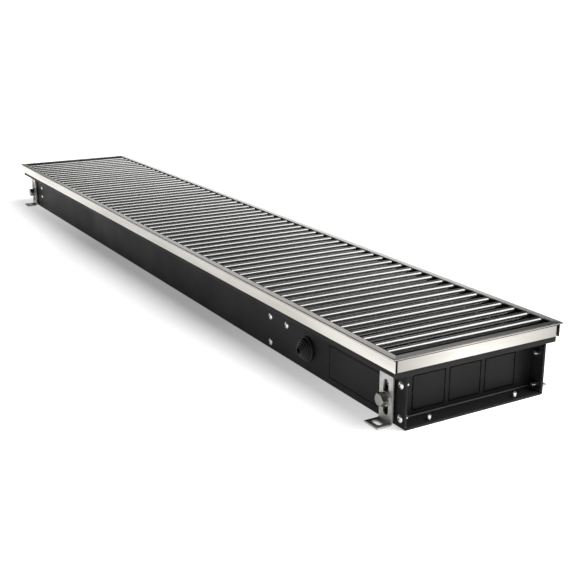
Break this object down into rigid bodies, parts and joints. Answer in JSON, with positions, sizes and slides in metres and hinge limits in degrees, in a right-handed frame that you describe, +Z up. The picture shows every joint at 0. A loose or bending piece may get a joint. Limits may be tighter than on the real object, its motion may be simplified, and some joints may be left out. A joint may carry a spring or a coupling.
{
  "type": "trench convector heater",
  "caption": "Floor-recessed water convector: black steel trough with a metal edge frame, roll-up rod grille, finned coil and slotted levelling feet.",
  "frame": {"origin": "centre of the object's base on the floor plane, half way along and across the frame", "axes": "+X along the trough towards the connection end, -Y towards the side with the cable entry, +Z up"},
  "size_m": [1.28, 0.227, 0.08],
  "materials": {
    "black_sheet": "satin black powder coat",
    "frame_metal": "brushed natural anodised",
    "rod_metal": "smooth natural anodised",
    "strip_rubber": "matt black",
    "spacer_plastic": "matt black",
    "zinc_steel": "bright zinc",
    "rivet_metal": "bright",
    "fin_aluminium": "mill finish",
    "tube_copper": "drawn copper; brass stands in for copper",
    "fitting_brass": "turned",
    "bush_plastic": "moulded"
  },
  "bodies": {
    "heater": {"trough_body": "black_sheet", "end_panel_connection": "black_sheet", "end_panel_far": "black_sheet", "bulkhead": "black_sheet", "coil_support": "black_sheet", "air_baffle": "black_sheet", "frame_side_front": "frame_metal", "frame_side_back": "frame_metal", "frame_end_connection": "frame_metal", "frame_end_far": "frame_metal", "support_strip_front": "strip_rubber", "support_strip_back": "strip_rubber", "foot_bolts": "zinc_steel", "spring_washers": "zinc_steel", "flat_washers": "zinc_steel", "rivet_nuts": "zinc_steel", "fin_pack": "fin_aluminium", "coil_tubes": "tube_copper", "return_bend_near": "tube_copper", "return_bends_far": "tube_copper", "tube_bushes": "bush_plastic", "flow_union": "fitting_brass", "return_union": "fitting_brass", "vent_plug": "fitting_brass", "cable_grommet": "strip_rubber", "cable_clip": "zinc_steel", "panel_rivets": "rivet_metal", "floor_rivets": "rivet_metal", "partition_rivets": "rivet_metal", "guide_rivets": "rivet_metal", "clip_rivet": "rivet_metal"},
    "grille": {"grille_rods": "rod_metal", "grille_spacers": "spacer_plastic", "grille_wires": "zinc_steel"},
    "grille_link_1": {"link_rod_1": "rod_metal", "link_spacers_1": "spacer_plastic"},
    "grille_link_2": {"link_rod_2": "rod_metal", "link_spacers_2": "spacer_plastic"},
    "grille_link_3": {"link_rod_3": "rod_metal", "link_spacers_3": "spacer_plastic"},
    "grille_link_4": {"link_rod_4": "rod_metal", "link_spacers_4": "spacer_plastic"},
    "grille_link_5": {"link_rod_5": "rod_metal", "link_spacers_5": "spacer_plastic"},
    "grille_link_6": {"link_rod_6": "rod_metal", "link_spacers_6": "spacer_plastic"},
    "grille_link_7": {"link_rod_7": "rod_metal", "link_spacers_7": "spacer_plastic"},
    "grille_link_8": {"link_rod_8": "rod_metal", "link_spacers_8": "spacer_plastic"},
    "foot_front_near": {"foot_bracket_front_near": "zinc_steel"},
    "foot_back_near": {"foot_bracket_back_near": "zinc_steel"},
    "foot_front_far": {"foot_bracket_front_far": "zinc_steel"},
    "foot_back_far": {"foot_bracket_back_far": "zinc_steel"},
    "vent_spindle": {"vent_screw": "zinc_steel"}
  },
  "joints": [
    {"name": "grille_lift", "type": "slide", "parent": "heater", "child": "grille", "axis": [0, 0, 1], "range_m": [0, 0.15]},
    {"name": "grille_roll_1", "type": "hinge", "parent": "grille", "child": "grille_link_1", "pos_m": [0.44749, 0, 0.0745], "axis": [0, -1, 0], "range_deg": [0, 22]},
    {"name": "grille_roll_2", "type": "hinge", "parent": "grille_link_1", "child": "grille_link_2", "pos_m": [0.46831, 0, 0.0745], "axis": [0, -1, 0], "range_deg": [0, 22]},
    {"name": "grille_roll_3", "type": "hinge", "parent": "grille_link_2", "child": "grille_link_3", "pos_m": [0.48912, 0, 0.0745], "axis": [0, -1, 0], "range_deg": [0, 22]},
    {"name": "grille_roll_4", "type": "hinge", "parent": "grille_link_3", "child": "grille_link_4", "pos_m": [0.50993, 0, 0.0745], "axis": [0, -1, 0], "range_deg": [0, 22]},
    {"name": "grille_roll_5", "type": "hinge", "parent": "grille_link_4", "child": "grille_link_5", "pos_m": [0.53075, 0, 0.0745], "axis": [0, -1, 0], "range_deg": [0, 22]},
    {"name": "grille_roll_6", "type": "hinge", "parent": "grille_link_5", "child": "grille_link_6", "pos_m": [0.55156, 0, 0.0745], "axis": [0, -1, 0], "range_deg": [0, 22]},
    {"name": "grille_roll_7", "type": "hinge", "parent": "grille_link_6", "child": "grille_link_7", "pos_m": [0.57237, 0, 0.0745], "axis": [0, -1, 0], "range_deg": [0, 22]},
    {"name": "grille_roll_8", "type": "hinge", "parent": "grille_link_7", "child": "grille_link_8", "pos_m": [0.59319, 0, 0.0745], "axis": [0, -1, 0], "range_deg": [0, 22]},
    {"name": "foot_front_near_level", "type": "slide", "parent": "heater", "child": "foot_front_near", "axis": [0, 0, -1], "range_m": [0, 0.014]},
    {"name": "foot_back_near_level", "type": "slide", "parent": "heater", "child": "foot_back_near", "axis": [0, 0, -1], "range_m": [0, 0.014]},
    {"name": "foot_front_far_level", "type": "slide", "parent": "heater", "child": "foot_front_far", "axis": [0, 0, -1], "range_m": [0, 0.014]},
    {"name": "foot_back_far_level", "type": "slide", "parent": "heater", "child": "foot_back_far", "axis": [0, 0, -1], "range_m": [0, 0.014]},
    {"name": "vent_turn", "type": "hinge", "parent": "heater", "child": "vent_spindle", "pos_m": [0.405, 0.047, 0.06], "axis": [0, 0, 1], "range_deg": [0, 270]}
  ],
  "couplings": [
    {"joint": "grille_roll_2", "follows": "grille_roll_1", "ratio": 1},
    {"joint": "grille_roll_3", "follows": "grille_roll_1", "ratio": 1},
    {"joint": "grille_roll_4", "follows": "grille_roll_1", "ratio": 1},
    {"joint": "grille_roll_5", "follows": "grille_roll_1", "ratio": 1},
    {"joint": "grille_roll_6", "follows": "grille_roll_1", "ratio": 1},
    {"joint": "grille_roll_7", "follows": "grille_roll_1", "ratio": 1},
    {"joint": "grille_roll_8", "follows": "grille_roll_1", "ratio": 1}
  ]
}
